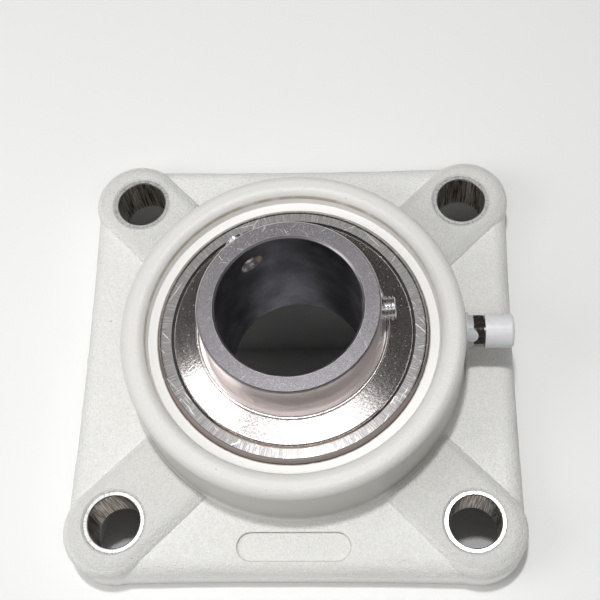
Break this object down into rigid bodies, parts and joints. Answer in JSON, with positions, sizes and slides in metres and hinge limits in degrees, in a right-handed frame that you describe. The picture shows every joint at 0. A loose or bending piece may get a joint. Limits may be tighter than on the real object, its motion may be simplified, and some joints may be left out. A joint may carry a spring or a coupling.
{
  "type": "flange mount bearing",
  "caption": "Square flange unit: moulded plastic housing with steel bolt bushes, self-aligning ball bearing insert with set screw collar, flingers, grease fitting and cap.",
  "frame": {"origin": "centre of the bolt square on the mounting face, where the bore axis meets it", "axes": "+Z along the bore axis out of the nose, +X towards the grease fitting, +Y completes the right-handed frame, away from the side with the label recess"},
  "size_m": [0.1192, 0.1192, 0.0464],
  "materials": {
    "housing_plastic": "moulded glass-filled polyester, fine spark-eroded texture",
    "bush_steel": "turned stainless steel",
    "ring_steel": "ground stainless bearing steel",
    "ball_steel": "lapped stainless steel",
    "cage_steel": "pressed stainless strip",
    "core_steel": "stamped steel washer",
    "seal_rubber": "black nitrile rubber",
    "flinger_steel": "polished pressed stainless sheet",
    "screw_steel": "bright stainless steel",
    "insert_brass": "turned brass",
    "fitting_steel": "turned stainless steel",
    "cap_plastic": "soft translucent polyethylene"
  },
  "bodies": {
    "housing": {"housing": "housing_plastic", "bolt_bush_front_left": "bush_steel", "bolt_bush_front_right": "bush_steel", "bolt_bush_rear_left": "bush_steel", "bolt_bush_rear_right": "bush_steel", "thread_insert": "insert_brass", "grease_fitting": "fitting_steel", "check_spring": "fitting_steel"},
    "insert_ring": {"outer_ring": "ring_steel", "front_seal_core": "core_steel", "front_seal_lip": "seal_rubber", "rear_seal_core": "core_steel", "rear_seal_lip": "seal_rubber"},
    "shaft_ring": {"inner_ring": "ring_steel", "front_flinger": "flinger_steel", "rear_flinger": "flinger_steel"},
    "cage": {"cage_front": "cage_steel", "cage_rear": "cage_steel", "cage_rivets": "cage_steel"},
    "ball_1": {"ball_1": "ball_steel"},
    "ball_2": {"ball_2": "ball_steel"},
    "ball_3": {"ball_3": "ball_steel"},
    "ball_4": {"ball_4": "ball_steel"},
    "ball_5": {"ball_5": "ball_steel"},
    "ball_6": {"ball_6": "ball_steel"},
    "ball_7": {"ball_7": "ball_steel"},
    "ball_8": {"ball_8": "ball_steel"},
    "ball_9": {"ball_9": "ball_steel"},
    "set_screw_1": {"set_screw_1": "screw_steel"},
    "set_screw_2": {"set_screw_2": "screw_steel"},
    "grease_cap": {"grease_cap": "cap_plastic"},
    "check_ball": {"check_ball": "ball_steel"}
  },
  "joints": [
    {"name": "insert_tilt", "type": "hinge", "parent": "housing", "child": "insert_ring", "pos_m": [0, 0, 0.021], "axis": [1, 0, 0], "range_deg": [-3, 3]},
    {"name": "shaft_spin", "type": "hinge", "parent": "insert_ring", "child": "shaft_ring", "pos_m": [0, 0, 0.021], "axis": [0, 0, 1], "continuous": true},
    {"name": "cage_spin", "type": "hinge", "parent": "insert_ring", "child": "cage", "pos_m": [0, 0, 0.021], "axis": [0, 0, 1], "continuous": true},
    {"name": "ball_1_spin", "type": "hinge", "parent": "cage", "child": "ball_1", "pos_m": [0.02675, 0, 0.021], "axis": [0, 0, 1], "continuous": true},
    {"name": "ball_2_spin", "type": "hinge", "parent": "cage", "child": "ball_2", "pos_m": [0.02049, 0.01719, 0.021], "axis": [0, 0, 1], "continuous": true},
    {"name": "ball_3_spin", "type": "hinge", "parent": "cage", "child": "ball_3", "pos_m": [0.00465, 0.02634, 0.021], "axis": [0, 0, 1], "continuous": true},
    {"name": "ball_4_spin", "type": "hinge", "parent": "cage", "child": "ball_4", "pos_m": [-0.01337, 0.02317, 0.021], "axis": [0, 0, 1], "continuous": true},
    {"name": "ball_5_spin", "type": "hinge", "parent": "cage", "child": "ball_5", "pos_m": [-0.02514, 0.00915, 0.021], "axis": [0, 0, 1], "continuous": true},
    {"name": "ball_6_spin", "type": "hinge", "parent": "cage", "child": "ball_6", "pos_m": [-0.02514, -0.00915, 0.021], "axis": [0, 0, 1], "continuous": true},
    {"name": "ball_7_spin", "type": "hinge", "parent": "cage", "child": "ball_7", "pos_m": [-0.01337, -0.02317, 0.021], "axis": [0, 0, 1], "continuous": true},
    {"name": "ball_8_spin", "type": "hinge", "parent": "cage", "child": "ball_8", "pos_m": [0.00465, -0.02634, 0.021], "axis": [0, 0, 1], "continuous": true},
    {"name": "ball_9_spin", "type": "hinge", "parent": "cage", "child": "ball_9", "pos_m": [0.02049, -0.01719, 0.021], "axis": [0, 0, 1], "continuous": true},
    {"name": "set_screw_1_travel", "type": "slide", "parent": "shaft_ring", "child": "set_screw_1", "axis": [0.9962, 0.0872, 0], "range_m": [-0.0018, 0.002]},
    {"name": "set_screw_2_travel", "type": "slide", "parent": "shaft_ring", "child": "set_screw_2", "axis": [-0.5736, 0.8192, 0], "range_m": [-0.0018, 0.002]},
    {"name": "grease_cap_pull", "type": "slide", "parent": "housing", "child": "grease_cap", "axis": [1, 0, 0], "range_m": [0, 0.012]},
    {"name": "check_ball_press", "type": "slide", "parent": "housing", "child": "check_ball", "axis": [-1, 0, 0], "range_m": [0, 0.001], "stiffness_N_per_m": 150, "springref_m": -0.002, "deforming": ["check_spring"]}
  ],
  "couplings": [
    {"joint": "cage_spin", "follows": "shaft_spin", "ratio": 0.39615},
    {"joint": "ball_1_spin", "follows": "shaft_spin", "ratio": -2.3035},
    {"joint": "ball_2_spin", "follows": "shaft_spin", "ratio": -2.3035},
    {"joint": "ball_3_spin", "follows": "shaft_spin", "ratio": -2.3035},
    {"joint": "ball_4_spin", "follows": "shaft_spin", "ratio": -2.3035},
    {"joint": "ball_5_spin", "follows": "shaft_spin", "ratio": -2.3035},
    {"joint": "ball_6_spin", "follows": "shaft_spin", "ratio": -2.3035},
    {"joint": "ball_7_spin", "follows": "shaft_spin", "ratio": -2.3035},
    {"joint": "ball_8_spin", "follows": "shaft_spin", "ratio": -2.3035},
    {"joint": "ball_9_spin", "follows": "shaft_spin", "ratio": -2.3035}
  ]
}
